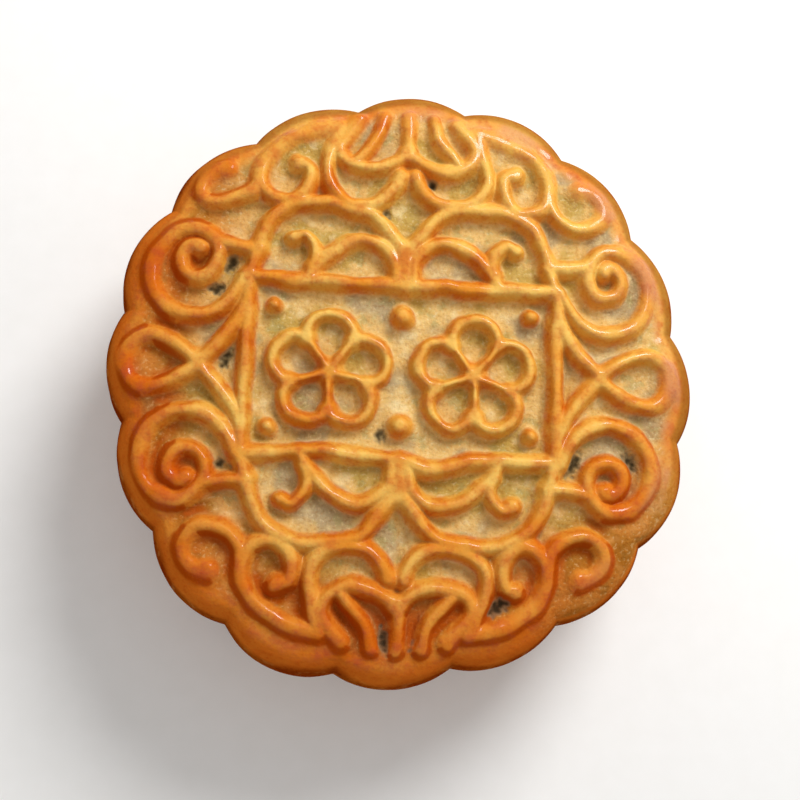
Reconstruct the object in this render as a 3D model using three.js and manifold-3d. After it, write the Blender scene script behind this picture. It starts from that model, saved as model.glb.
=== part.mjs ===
// A baked mooncake: one solid piece of pastry, pressed in a carved mould with sixteen flutes.
// Millimetres, +Z up, origin at the middle of the flat base.
//
// The body is a lathe whose rings are pushed out to the fluted outline. The ornament is a set of ridges
// that stand on its top: a frame with two plum blossoms in it, and round the frame arches, scrolls,
// ribbons and fans, drawn for one quarter and mirrored. Baking pulls the outline a little out of round,
// pushes some ridges aside, and lets the ones near the rim sag.

import * as THREE from 'three';
import { mergeVertices } from 'three/addons/utils/BufferGeometryUtils.js';
import Module from 'manifold-3d';

const { degToRad, euclideanModulo, lerp } = THREE.MathUtils;
const wasm = await Module();
wasm.setup();

// ---------------------------------------------------------------- driving dimensions

const LOBES = 16;
const LOBE_RADIUS = 37.5; // middle to the crown of a flute, at the widest height
const CUSP_RADIUS = 36; // middle to the groove between two flutes
const HEIGHT = 30; // table to the crests of the ornament
const RELIEF = 2.2; // crests above the sunken field of the top
const FIELD_Z = HEIGHT - RELIEF;
const SEGMENTS_PER_LOBE = 4;

// How far the outline is out of round: its two, three and four bulges.
const OVAL = -0.35;
const EGG = 0.2;
const SQUARE = 0.5;
const SQUARE_TURN = degToRad(20);

// The side and the rounded rim from the base upwards: inset from the outline, height, and the share of
// the fluting that is left there.
const PROFILE = [
  { inset: 2.3, z: 0, fluting: 1 },
  { inset: 0.9, z: 0.6, fluting: 1 },
  { inset: 0.35, z: 2.2, fluting: 1 },
  { inset: 0, z: 12, fluting: 1 },
  { inset: 0.05, z: HEIGHT - 10.6, fluting: 1 },
  { inset: 0.25, z: HEIGHT - 7.4, fluting: 1 },
  { inset: 0.75, z: HEIGHT - 5, fluting: 1 },
  { inset: 1.5, z: HEIGHT - 3.4, fluting: 0.95 },
  { inset: 2.4, z: HEIGHT - 2.4, fluting: 0.8 },
  { inset: 3.3, z: HEIGHT - 2, fluting: 0.55 },
  { inset: 4.5, z: HEIGHT - 1.9, fluting: 0.25 },
  { inset: 7, z: FIELD_Z, fluting: 0 },
];

// Ridges
const RIDGE_WIDTH = 2.8; // where it meets the field
const CURL_WIDTH = 2.4; // in the tight curls
const WEB_WIDTH = 3.4; // between the frame and the feet of the arches
const CREST_SHARE = 0.38; // width of the crest over the width at the field
const KNOB_SHARE = 1.1; // width of a round end over the width of its ridge
const KNOB_SIDES = 7;
const SINK = 1.2; // how far a ridge reaches into the body
const FLANK_START = -0.1; // the flanks start just below the field, over an upright foot
const LONG_STEP = 2.8; // length of a facet along a ridge
const CURL_STEP = 1.6; // the same in the tight curls

// Frame round the middle panel, to the crests
const FRAME_X = 18.7;
const FRAME_Y = 10.5;

// Blossoms in the panel, and the round buds in the gaps that they leave
const BLOSSOM_X = 8.7; // middle of the panel to the middle of a blossom
const BLOSSOM_Y = -0.4;
const PETALS = 5;
const PETAL_RADIUS = 7; // middle of a blossom to the crown of a petal
const NOTCH_RADIUS = 4.8; // middle of a blossom to the notch between two petals
const PETAL_WIDTH = 2.3;
const NOTCH_WIDTH = 3.1; // round joint where two petals meet
const SPOKE_WIDTH = 1.7;
const BOSS_WIDTH = 4.4;
const BUDS = [
  { at: [0, 6.6], width: 3.4 },
  { at: [15.6, 7.3], width: 2.6 },
];

// What baking does to the ornament: its middle is off the middle of the body, the crests by the rim sag,
// and pieces of it are pushed aside.
const OFF_CENTRE = [-0.47, 0.17];
const SAG = 1.6; // at the radius of the grooves
const SAG_FROM = 24; // radius where it starts
const PUSHES = [
  { at: [-21, 14.5], by: [0, 0.8], reach: 6 },
  { at: [4, -10.5], by: [0, -1.2], reach: 3.2 },
  { at: [-9.5, -10.5], by: [0, 0.6], reach: 4.5 },
  { at: [10, -25], by: [0.8, 0], reach: 4 },
  { at: [-21, 20.5], by: [-1.5, 1], reach: 3.6 },
  { at: [-1.5, -30.5], by: [0.6, 0], reach: 3.5 },
  { at: [-6, 20.5], by: [0, -0.5], reach: 3 },
];

// Joins
const OVERLAP = 0.4; // past the mirror lines, so that the quarters meet
const LOOP_OVERRUN = 0.15; // the same for the side loops, as an angle in radians
const PETAL_OVERRUN = 0.004; // the same from petal to petal, as a share of a turn
const WELD = 0.04; // edges shorter than this are closed up where ridges join
const SAME_POINT = 1e-4;

// ---------------------------------------------------------------- curves in the plane of the top

/** A smooth curve through points given as [x, y]. */
function through(...points) {
  return new THREE.CatmullRomCurve3(points.map(([x, y]) => new THREE.Vector3(x, y, 0)));
}

/** A spiral whose centre moves as its radius shrinks. */
class Scroll extends THREE.Curve {
  constructor({ centres, radii, degrees, ease, squash }) {
    super();
    Object.assign(this, { centres, radii, degrees, ease, squash });
  }

  getPoint(t, target = new THREE.Vector3()) {
    const shrink = t ** this.ease;
    const angle = degToRad(lerp(this.degrees[0], this.degrees[1], t));
    const radius = lerp(this.radii[0], this.radii[1], shrink);
    const x = lerp(this.centres[0][0], this.centres[1][0], shrink) + radius * Math.cos(angle);
    const y = lerp(this.centres[0][1], this.centres[1][1], shrink) + this.squash * radius * Math.sin(angle);
    return target.set(x, y, 0);
  }
}

/** Half of a drop-shaped loop: pointed on the X axis at `tip`, and round a little past the axis at `end`. */
class Teardrop extends THREE.Curve {
  constructor(tip, end, halfWidth) {
    super();
    Object.assign(this, { tip, end, halfWidth });
  }

  getPoint(t, target = new THREE.Vector3()) {
    const phi = (Math.PI + LOOP_OVERRUN) * t;
    const widest = 4 / (3 * Math.sqrt(3)); // greatest value of sin(phi) sin(phi / 2)
    const x = lerp(this.tip, this.end, Math.sin(phi / 2) ** 2);
    const y = (this.halfWidth * Math.sin(phi) * Math.sin(phi / 2)) / widest;
    return target.set(x, y, 0);
  }
}

/** The outer edge of one petal of the blossom whose middle is at [x, y]. */
class Petal extends THREE.Curve {
  constructor(middle, number) {
    super();
    Object.assign(this, { middle, number });
  }

  getPoint(t, target = new THREE.Vector3()) {
    const ends = 0.5 / PETALS + PETAL_OVERRUN;
    const turn = this.number / PETALS + lerp(-ends, ends, t);
    const radius = scallopRadius(2 * Math.PI * turn, PETALS, PETAL_RADIUS, NOTCH_RADIUS);
    return target.set(...petalPoint(this.middle, turn, radius), 0);
  }
}

// ---------------------------------------------------------------- the ornament, one quarter

const BIG_SCROLL = {
  centres: [[26.3, 11.2], [25.1, 13.0]],
  radii: [7.1, 0.65],
  degrees: [186, 850],
  ease: 0.71,
  squash: 1.06,
};

const OUTER_HOOK = {
  centres: [[22.3, 22.9], [21.1, 21.8]],
  radii: [4.56, 2.6],
  degrees: [185, 434],
  ease: 1,
  squash: 0.93,
};

/** The strokes of the quarter with x > 0 and y > 0: a curve, and where it differs, width, step and tip. */
const QUARTER = [
  // arch over the panel, from the middle round to the corner of the frame
  { curve: through([-0.3, 13.4], [1.0, 15.6], [4.6, 19.7], [8.2, 20.5], [12.0, 20.4], [15.0, 19.1],
    [16.9, 16.5], [18.6, 10.8]) },
  // leaf under the arch
  { curve: through([0.9, 11.2], [1.3, 13.7], [2.8, 15.4], [4.9, 16.0], [7.4, 15.4], [11.2, 12.3]) },
  // hook that stands on the frame
  { curve: through([11.6, 10.8], [10.9, 12.8], [11.0, 14.8], [12.4, 16.2], [13.6, 15.7]), width: CURL_WIDTH,
    step: CURL_STEP, tip: true },
  // bar from the arch to the big scroll
  { curve: through([17.6, 13.6], [20.2, 13.6], [22.6, 14.1]) },
  // big scroll from the corner of the frame
  { curve: new Scroll(BIG_SCROLL), step: CURL_STEP, tip: true },
  // ribbon at the side: a strand from the frame, and a loop
  { curve: through([18.9, 6.9], [20.0, 4.9], [21.9, 2.5], [24.3, -OVERLAP]) },
  { curve: new Teardrop(24.0, 32.9, 3.15), step: CURL_STEP },
  // hook near the rim
  { curve: new Scroll(OUTER_HOOK), step: CURL_STEP, tip: true },
  // small scroll along the rim
  { curve: through([8.6, 30.8], [11.6, 30.1], [14.5, 28.8], [16.7, 26.9], [17.8, 24.4], [17.4, 22.1],
    [15.9, 20.6], [14.0, 20.5], [12.5, 21.8], [12.0, 23.7], [12.4, 25.1], [13.6, 25.5]), step: CURL_STEP,
    tip: true },
  // wave that hangs from the rim to the arch and rises again to a horn
  { curve: through([8.7, 30.4], [9.9, 25.2], [9.6, 22.9], [8.0, 21.3], [5.6, 20.8], [3.4, 21.2],
    [1.8, 22.6], [0.9, 24.4]), tip: true },
  // fan at the rim: its outer arc and one rib
  { curve: through([-0.3, 27.7], [1.8, 26.2], [4.0, 25.4], [6.2, 25.5], [8.0, 26.6], [8.6, 28.3],
    [6.2, 31.8]) },
  { curve: through([6.3, 26.4], [4.8, 28.1], [3.7, 30.0], [3.1, 32.3]), width: CURL_WIDTH },
];

/** The strokes that lie on the Y axis, mirrored to the bottom. */
const MIDDLE = [
  // web between the frame and the feet of the arches
  { curve: through([0, 10.5], [0, 15.0]), width: WEB_WIDTH },
  // middle rib of the fan
  { curve: through([0, 27.0], [0, 32.6]), width: CURL_WIDTH },
];

// ---------------------------------------------------------------- geometry

/** Radius at an angle of a ring of `count` round bulges between `cusp` and `crown`, with a crown at 0. */
function scallopRadius(angle, count, crown, cusp) {
  const half = Math.PI / count;
  const chord = cusp * Math.sin(half);
  const rise = crown - cusp * Math.cos(half);
  const arc = (chord ** 2 + rise ** 2) / (2 * rise);
  const centre = crown - arc;
  const phase = euclideanModulo(angle + half, 2 * half) - half;
  return centre * Math.cos(phase) + Math.sqrt(arc ** 2 - (centre * Math.sin(phase)) ** 2);
}

/** Radius of the cake's outline at an angle, with a share of the fluting from 0 to 1. */
function outlineRadius(angle, fluting) {
  const fluted = scallopRadius(angle, LOBES, LOBE_RADIUS, CUSP_RADIUS);
  const twoBulges = OVAL * Math.cos(2 * angle);
  const threeBulges = EGG * Math.cos(3 * angle);
  const fourBulges = -SQUARE * Math.sin(4 * angle + SQUARE_TURN);
  return lerp(CUSP_RADIUS, fluted, fluting) + twoBulges + threeBulges + fourBulges;
}

/** [x, y] of a point of a blossom, at a share of a turn from the top petal and a radius. */
function petalPoint([x, y], turn, radius) {
  const angle = Math.PI / 2 + 2 * Math.PI * turn;
  return [x + radius * Math.cos(angle), y + radius * Math.sin(angle)];
}

/** The body without its ornament. */
function bodyGeometry() {
  const onAxis = LOBE_RADIUS;
  const rings = [{ inset: onAxis, z: 0 }, ...PROFILE, { inset: onAxis, z: FIELD_Z }];
  const points = rings.map(({ inset, z }) => new THREE.Vector2(LOBE_RADIUS - inset, z));
  const geometry = new THREE.LatheGeometry(points, LOBES * SEGMENTS_PER_LOBE, Math.PI / LOBES);
  geometry.rotateX(Math.PI / 2);
  const position = geometry.getAttribute('position');
  for (let i = 0; i < position.count; i += 1) {
    const { inset, fluting } = rings[i % rings.length];
    if (inset !== onAxis) {
      const angle = Math.atan2(position.getY(i), position.getX(i));
      const radius = outlineRadius(angle, fluting) - inset;
      position.setXY(i, radius * Math.cos(angle), radius * Math.sin(angle));
    }
  }
  return geometry;
}

/** Half widths of a ridge's section at heights above the field, from its sunken foot up to its crest. */
function sectionProfile(width) {
  return [
    { half: width / 2, z: -SINK },
    { half: width / 2, z: FLANK_START },
    { half: (CREST_SHARE * width) / 2, z: RELIEF },
  ];
}

/** A ridge along a curve in the plane of the top. */
function ridgeGeometry({ curve, width = RIDGE_WIDTH, step = LONG_STEP }) {
  const rising = sectionProfile(width);
  const falling = rising.map(({ half, z }) => ({ half: -half, z })).reverse();
  // An extrusion along a flat curve turns the section's own X to point down.
  const section = new THREE.Shape([...rising, ...falling].map(({ half, z }) => new THREE.Vector2(-z, half)));
  const steps = Math.max(1, Math.round(curve.getLength() / step));
  return new THREE.ExtrudeGeometry(section, { steps, bevelEnabled: false, extrudePath: curve });
}

/** The round end of a ridge, or a boss, at [x, y]. */
function knobGeometry([x, y], width) {
  const profile = [
    new THREE.Vector2(0, -SINK),
    ...sectionProfile(width).map(({ half, z }) => new THREE.Vector2(half, z)),
    new THREE.Vector2(0, RELIEF),
  ];
  const geometry = new THREE.LatheGeometry(profile, KNOB_SIDES);
  geometry.rotateX(Math.PI / 2);
  geometry.translate(x, y, 0);
  return geometry;
}

/** The closed geometries of one stroke: its ridge, and its round end where it has one. */
function strokeGeometries(stroke) {
  const parts = [ridgeGeometry(stroke)];
  if (stroke.tip) {
    const end = stroke.curve.getPoint(1);
    parts.push(knobGeometry([end.x, end.y], KNOB_SHARE * (stroke.width ?? RIDGE_WIDTH)));
  }
  return parts;
}

/** An indexed copy with positions only, and shared vertices merged. */
function mergeable(geometry) {
  const bare = geometry.clone();
  bare.deleteAttribute('normal');
  bare.deleteAttribute('uv');
  return mergeVertices(bare, SAME_POINT);
}

/** A copy mirrored in X, in Y or in both, with its faces still pointing out. */
function mirrored(geometry, sx, sy) {
  const copy = mergeable(geometry);
  copy.scale(sx, sy, 1);
  if (sx * sy < 0) {
    const index = copy.getIndex();
    for (let i = 0; i < index.count; i += 3) {
      const second = index.getX(i + 1);
      index.setX(i + 1, index.getX(i + 2));
      index.setX(i + 2, second);
    }
  }
  return copy;
}

/** A solid from a closed geometry. */
function solidOf(geometry) {
  const merged = mergeable(geometry);
  const index = merged.getIndex();
  const triangles = [];
  for (let i = 0; i < index.count; i += 3) {
    const [a, b, c] = [index.getX(i), index.getX(i + 1), index.getX(i + 2)];
    if (a !== b && b !== c && c !== a) {
      triangles.push(a, b, c);
    }
  }
  const vertProperties = new Float32Array(merged.getAttribute('position').array);
  const triVerts = new Uint32Array(triangles);
  return new wasm.Manifold(new wasm.Mesh({ numProp: 3, vertProperties, triVerts, tolerance: WELD }));
}

/** The geometry of a solid, moved sideways so that the middle of its box is over the origin. */
function geometryOf(solid) {
  const mesh = solid.getMesh();
  const geometry = new THREE.BufferGeometry();
  geometry.setAttribute('position', new THREE.BufferAttribute(mesh.vertProperties, 3));
  geometry.setIndex(new THREE.BufferAttribute(mesh.triVerts, 1));
  geometry.computeBoundingBox();
  const middle = geometry.boundingBox.getCenter(new THREE.Vector3());
  geometry.translate(-middle.x, -middle.y, 0);
  geometry.computeVertexNormals();
  return geometry;
}

// ---------------------------------------------------------------- the ornament, whole

/** Four straight ridges round the panel. */
function frameGeometries() {
  const past = RIDGE_WIDTH / 2;
  const across = ridgeGeometry({ curve: through([-FRAME_X - past, FRAME_Y], [FRAME_X + past, FRAME_Y]) });
  const upright = ridgeGeometry({ curve: through([FRAME_X, -FRAME_Y - past], [FRAME_X, FRAME_Y + past]) });
  return [across, mirrored(across, 1, -1), upright, mirrored(upright, -1, 1)];
}

/** One five-petalled blossom: the edges of the petals, the lines between them, and a boss. */
function blossomGeometries(middle) {
  const parts = [knobGeometry(middle, BOSS_WIDTH)];
  for (let petal = 0; petal < PETALS; petal += 1) {
    const notch = petalPoint(middle, (petal + 0.5) / PETALS, NOTCH_RADIUS);
    parts.push(ridgeGeometry({ curve: new Petal(middle, petal), width: PETAL_WIDTH, step: CURL_STEP }));
    parts.push(knobGeometry(notch, NOTCH_WIDTH));
    parts.push(ridgeGeometry({ curve: through(middle, notch), width: SPOKE_WIDTH }));
  }
  return parts;
}

/** Moves the ornament's points as baking moved them, and stands it on the field. */
function settle(geometry) {
  const position = geometry.getAttribute('position');
  for (let i = 0; i < position.count; i += 1) {
    const at = new THREE.Vector2(position.getX(i), position.getY(i));
    const moved = at.clone().add(new THREE.Vector2(...OFF_CENTRE));
    for (const push of PUSHES) {
      const share = Math.exp(-at.distanceToSquared(new THREE.Vector2(...push.at)) / push.reach ** 2);
      moved.addScaledVector(new THREE.Vector2(...push.by), share);
    }
    const outwards = Math.max(0, (moved.length() - SAG_FROM) / (CUSP_RADIUS - SAG_FROM));
    position.setXYZ(i, moved.x, moved.y, FIELD_Z + position.getZ(i) - SAG * outwards ** 2);
  }
}

/** Every closed geometry of the ornament, in its place on the cake. */
function ornamentGeometries() {
  const parts = frameGeometries();
  for (const x of [BLOSSOM_X, -BLOSSOM_X]) {
    parts.push(...blossomGeometries([x, BLOSSOM_Y]));
  }
  const quarter = [
    ...QUARTER.flatMap(strokeGeometries),
    ...BUDS.map(({ at, width }) => knobGeometry(at, width)),
  ];
  for (const geometry of quarter) {
    for (const sx of [1, -1]) {
      for (const sy of [1, -1]) {
        parts.push(mirrored(geometry, sx, sy));
      }
    }
  }
  for (const geometry of MIDDLE.flatMap(strokeGeometries)) {
    parts.push(geometry, mirrored(geometry, 1, -1));
  }
  parts.forEach(settle);
  return parts;
}

// ---------------------------------------------------------------- the mooncake

let cake = solidOf(bodyGeometry());
for (const geometry of ornamentGeometries()) {
  cake = cake.add(solidOf(geometry));
}

const crust = new THREE.MeshStandardMaterial({ color: 0xc87a2c, roughness: 0.45, metalness: 0 });
const mooncake = new THREE.Mesh(geometryOf(cake), crust);
mooncake.name = 'mooncake';

const group = new THREE.Group();
group.add(mooncake);

export default group;
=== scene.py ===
"""A baked mooncake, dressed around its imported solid.

The cake is one closed piece. Its top is a field of heights, drawn in millimetres from the same strokes
and the same named sizes as the solid, but with the soft round section of pressed dough; its side and
base follow the solid's profile. Maps that are made along with the heights say where the crust is ridge,
recess, rim or bare filling, and the crust's material is mixed from them.
"""

from __future__ import annotations

import logging
import math
from collections.abc import Iterator
from dataclasses import dataclass, field
from enum import Enum
from typing import ClassVar

import bpy
import numpy as np
from mathutils import Matrix, Vector

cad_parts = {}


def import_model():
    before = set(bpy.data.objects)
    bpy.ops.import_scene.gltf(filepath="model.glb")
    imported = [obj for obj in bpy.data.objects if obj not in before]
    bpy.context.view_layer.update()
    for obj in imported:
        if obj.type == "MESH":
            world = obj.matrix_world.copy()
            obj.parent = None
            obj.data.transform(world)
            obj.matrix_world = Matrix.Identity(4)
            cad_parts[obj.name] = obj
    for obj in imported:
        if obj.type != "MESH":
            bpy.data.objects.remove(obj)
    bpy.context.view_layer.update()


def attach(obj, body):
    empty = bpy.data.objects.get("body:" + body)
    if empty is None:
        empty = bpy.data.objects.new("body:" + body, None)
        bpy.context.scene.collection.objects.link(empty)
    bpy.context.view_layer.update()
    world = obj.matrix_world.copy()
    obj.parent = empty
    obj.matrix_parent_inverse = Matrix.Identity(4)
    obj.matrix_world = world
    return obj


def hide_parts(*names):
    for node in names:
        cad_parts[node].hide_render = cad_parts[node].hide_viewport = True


log = logging.getLogger("mooncake")

MM = 0.001  # metres in a millimetre
Pair = tuple[float, float]
Rgba = tuple[float, float, float, float]

# sockets of a node that mixes two colours
MIX_FACTOR, MIX_BELOW, MIX_ABOVE = 0, 6, 7
MIX_RESULT = 2


# ---------------------------------------------------------------- curves in the plane of the top


SPAN_POINTS = 14  # from one given point of a curve to the next
SCROLL_POINTS = 160
LOOP_POINTS = 60
PAST_AXIS = 0.15  # radians, how far half a loop runs on, so that the two halves join


def through(*points: Pair) -> np.ndarray:
    """Draw a smooth curve through points.

    Args:
        points: the points, in millimetres.

    Returns:
        Points close together along a centripetal Catmull-Rom curve, one row each.
    """
    given = np.array(points, float)
    before, after = 2 * given[0] - given[1], 2 * given[-1] - given[-2]
    knots = np.vstack([before, given, after])
    spans = []
    for p0, p1, p2, p3 in zip(knots, knots[1:], knots[2:], knots[3:]):
        gaps = [math.sqrt(np.linalg.norm(b - a)) for a, b in ((p0, p1), (p1, p2), (p2, p3))]
        t0, t1, t2, t3 = np.cumsum([0, *gaps])
        t = np.linspace(t1, t2, SPAN_POINTS)[:, None]
        a1 = ((t1 - t) * p0 + (t - t0) * p1) / (t1 - t0)
        a2 = ((t2 - t) * p1 + (t - t1) * p2) / (t2 - t1)
        a3 = ((t3 - t) * p2 + (t - t2) * p3) / (t3 - t2)
        b1 = ((t2 - t) * a1 + (t - t0) * a2) / (t2 - t0)
        b2 = ((t3 - t) * a2 + (t - t1) * a3) / (t3 - t1)
        spans.append(((t2 - t) * b1 + (t - t1) * b2) / (t2 - t1))
    return np.vstack(spans)


def scroll(centres: tuple[Pair, Pair], radii: Pair, degrees: Pair, ease: float,
           squash: float) -> np.ndarray:
    """Draw a spiral whose centre moves as its radius shrinks.

    Args:
        centres: where the centre starts and ends.
        radii: the first and the last radius.
        degrees: the first and the last angle.
        ease: below 1, most of the shrinking comes early.
        squash: height over width.

    Returns:
        Points close together along it, one row each.
    """
    along = np.linspace(0, 1, SCROLL_POINTS)
    shrink = along**ease
    angle = np.radians(degrees[0] + (degrees[1] - degrees[0]) * along)
    radius = radii[0] + (radii[1] - radii[0]) * shrink
    middle = np.array(centres[0]) + np.outer(shrink, np.array(centres[1]) - np.array(centres[0]))
    return middle + np.column_stack([radius * np.cos(angle), squash * radius * np.sin(angle)])


def teardrop(tip: float, end: float, half_width: float) -> np.ndarray:
    """Draw half of a drop-shaped loop.

    Args:
        tip: where its point is on the X axis.
        end: where its round end crosses the X axis.
        half_width: its greatest distance from the X axis.

    Returns:
        Points close together along it, one row each.
    """
    widest = 4 / (3 * math.sqrt(3))  # greatest value of sin(phi) sin(phi / 2)
    phi = np.linspace(0, math.pi + PAST_AXIS, LOOP_POINTS)
    x = tip + (end - tip) * np.sin(phi / 2) ** 2
    return np.column_stack([x, half_width * np.sin(phi) * np.sin(phi / 2) / widest])


def scallop_radius(angle: np.ndarray, count: int, crown: float, cusp: float) -> np.ndarray:
    """Measure a ring of round bulges, with the crown of one at angle 0.

    Args:
        angle: where to measure, in radians.
        count: how many bulges there are.
        crown: the radius at the crown of a bulge.
        cusp: the radius between two bulges.

    Returns:
        The radius at each angle.
    """
    half = math.pi / count
    chord = cusp * math.sin(half)
    rise = crown - cusp * math.cos(half)
    arc = (chord**2 + rise**2) / (2 * rise)
    centre = crown - arc
    phase = np.mod(angle + half, 2 * half) - half
    return centre * np.cos(phase) + np.sqrt(arc**2 - (centre * np.sin(phase)) ** 2)


# ---------------------------------------------------------------- unevenness of dough


@dataclass(frozen=True)
class Unevenness:
    """A smooth field of random bumps, made of plane waves that run in all directions."""

    seed: int
    size: float  # from bump to bump, mm
    amount: float = 1.0  # how high the bumps are, or how much they change something
    waves: int = 28
    lengths: Pair = (0.7, 1.5)  # of the shortest and the longest wave, over the size
    swing: float = 1.2  # twice the standard deviation of the values, over the amount

    def at(self, x: np.ndarray, y: np.ndarray) -> np.ndarray:
        """Give the field at points.

        Args:
            x: the points' x, mm.
            y: the points' y, mm.

        Returns:
            Values about 0, mostly between minus and plus the amount.
        """
        draw = np.random.RandomState(self.seed)
        total = np.zeros(np.broadcast(x, y).shape)
        for _ in range(self.waves):
            turn, phase = draw.uniform(0, 2 * math.pi, 2)
            step = 2 * math.pi / (self.size * draw.uniform(*self.lengths))
            total += np.sin(step * (x * math.cos(turn) + y * math.sin(turn)) + phase)
        return self.amount * (total * math.sqrt(0.5 / self.waves) * self.swing)


def smooth_step(low: float, high: float, value: np.ndarray) -> np.ndarray:
    """Rise smoothly from 0 at low to 1 at high; falls where low is the greater."""
    t = np.clip((value - low) / (high - low), 0, 1)
    return t * t * (3 - 2 * t)


def at_least(least: float, value: np.ndarray) -> np.ndarray:
    """Squeeze values from 0 to 1 into the span from a least value to 1."""
    return least + (1 - least) * value


def blurred(values: np.ndarray, sigma: float) -> np.ndarray:
    """Blur a map with a Gaussian.

    Args:
        values: the map.
        sigma: the Gaussian's width, in cells.

    Returns:
        The blurred map, of the same size.
    """
    reach = int(3 * sigma)
    taps = np.exp(-0.5 * (np.arange(-reach, reach + 1) / sigma) ** 2)
    taps /= taps.sum()
    for axis in (0, 1):
        pad = [(0, 0), (0, 0)]
        pad[axis] = (reach, reach)
        padded = np.pad(values, pad, mode="edge")
        length = values.shape[axis]
        values = sum(
            tap * np.take(padded, np.arange(k, k + length), axis=axis) for k, tap in enumerate(taps)
        )
    return values


# ---------------------------------------------------------------- the body


@dataclass(frozen=True)
class CakeBody:
    """The fluted body: its outline, and its profile from the base over the rim to the field."""

    lobes: int = 16
    lobe_radius: float = 37.5
    cusp_radius: float = 36.0  # between two lobes
    height: float = 30.0
    relief: float = 2.2  # of the ridges over the field
    oval: float = -0.35  # how far the outline is out of round
    egg: float = 0.2
    square: float = 0.5
    square_turn: float = math.radians(20)
    facets_per_lobe: int = 4  # of the solid, whose box is centred on the origin
    rim_row: int = 5  # the profile's first row that belongs to the rim
    rim_depth: float = 6.0  # mm below the highest place, where the rim begins
    top_depth: float = 5.0  # mm below it, deeper than any place of the top
    join_inset: float = 1.8  # where the side meets the field of heights
    inset_rounds: int = 6  # to find an inset, because the share of the fluting depends on it

    @property
    def field_z(self) -> float:
        """Height of the sunken field."""
        return self.height - self.relief

    @property
    def profile(self) -> list[tuple[float, float, float]]:
        """Inset from the outline, height, and share of the fluting, from the base upwards."""
        h = self.height
        return [
            (2.3, 0, 1),
            (0.9, 0.6, 1),
            (0.35, 2.2, 1),
            (0, 12, 1),
            (0.05, h - 10.6, 1),
            (0.25, h - 7.4, 1),
            (0.75, h - 5, 1),
            (1.5, h - 3.4, 0.95),
            (2.4, h - 2.4, 0.8),
            (3.3, h - 2, 0.55),
            (4.5, h - 1.9, 0.25),
            (7, self.field_z, 0),
        ]

    def outline(self, angle: np.ndarray, fluting: np.ndarray | float) -> np.ndarray:
        """Measure the outline before it is centred.

        Args:
            angle: where to measure, in radians.
            fluting: the share of the fluting, 0 to 1.

        Returns:
            The radius at each angle, mm.
        """
        fluted = scallop_radius(angle, self.lobes, self.lobe_radius, self.cusp_radius)
        bulges = (
            self.oval * np.cos(2 * angle)
            + self.egg * np.cos(3 * angle)
            - self.square * np.sin(4 * angle + self.square_turn)
        )
        return self.cusp_radius + (fluted - self.cusp_radius) * fluting + bulges

    @property
    def axis(self) -> np.ndarray:
        """Find the body's axis once the solid's box is centred.

        Returns:
            Its x and y, mm.
        """
        angle = np.arange(self.lobes * self.facets_per_lobe) * 2 * math.pi
        angle = angle / (self.lobes * self.facets_per_lobe)
        radius = self.outline(angle, 1.0)
        corners = np.column_stack([radius * np.cos(angle), radius * np.sin(angle)])
        return -(corners.min(axis=0) + corners.max(axis=0)) / 2

    def profile_curve(self) -> tuple[np.ndarray, np.ndarray, np.ndarray]:
        """Round the profile off.

        Returns:
            Inset, height and share of fluting at points close together, from the base upwards.
        """
        rows = np.array(self.profile)
        curve = through(*[(inset, z) for inset, z, _ in rows])
        fluting = np.interp(curve[:, 1], rows[:, 1], rows[:, 2])
        inner = curve[:, 1] > self.height - self.rim_depth
        fluting[inner] = self.fluting_at(curve[inner, 0])
        return curve[:, 0], curve[:, 1], fluting

    def fluting_at(self, inset: np.ndarray | float) -> np.ndarray:
        """Give the share of the fluting at an inset of the rim."""
        rim = np.array(self.profile)[self.rim_row :]
        return np.interp(inset, rim[:, 0], rim[:, 2])

    def inset_at(self, x: np.ndarray, y: np.ndarray) -> np.ndarray:
        """Measure how far points of the top are inside the outline.

        Args:
            x: the points' x, mm.
            y: the points' y, mm.

        Returns:
            The inset at each point, mm; below 0 outside.
        """
        dx, dy = x - self.axis[0], y - self.axis[1]
        angle, radius = np.arctan2(dy, dx), np.hypot(dx, dy)
        inset = self.outline(angle, 1.0) - radius
        for _ in range(self.inset_rounds):
            inset = self.outline(angle, self.fluting_at(inset)) - radius
        return inset

    def floor(self, inset: np.ndarray) -> np.ndarray:
        """Measure the bare top.

        Args:
            inset: how far from the outline, mm.

        Returns:
            The height there, mm.
        """
        curve_inset, curve_z, _ = self.profile_curve()
        top = curve_z > self.height - self.top_depth
        order = np.argsort(curve_inset[top])
        return np.interp(inset, curve_inset[top][order], curve_z[top][order])

    @property
    def join_z(self) -> float:
        """Height where the side meets the field of heights."""
        return float(self.floor(np.array(self.join_inset)))


# ---------------------------------------------------------------- the ornament


@dataclass(frozen=True)
class Stroke:
    """One ridge: the points that its crest follows, and its width at the field."""

    path: np.ndarray
    width: float
    knob: float = 0.0  # width of its round end


@dataclass(frozen=True)
class Push:
    """A place where baking moved the ornament aside."""

    at: Pair
    by: Pair
    reach: float


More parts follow.
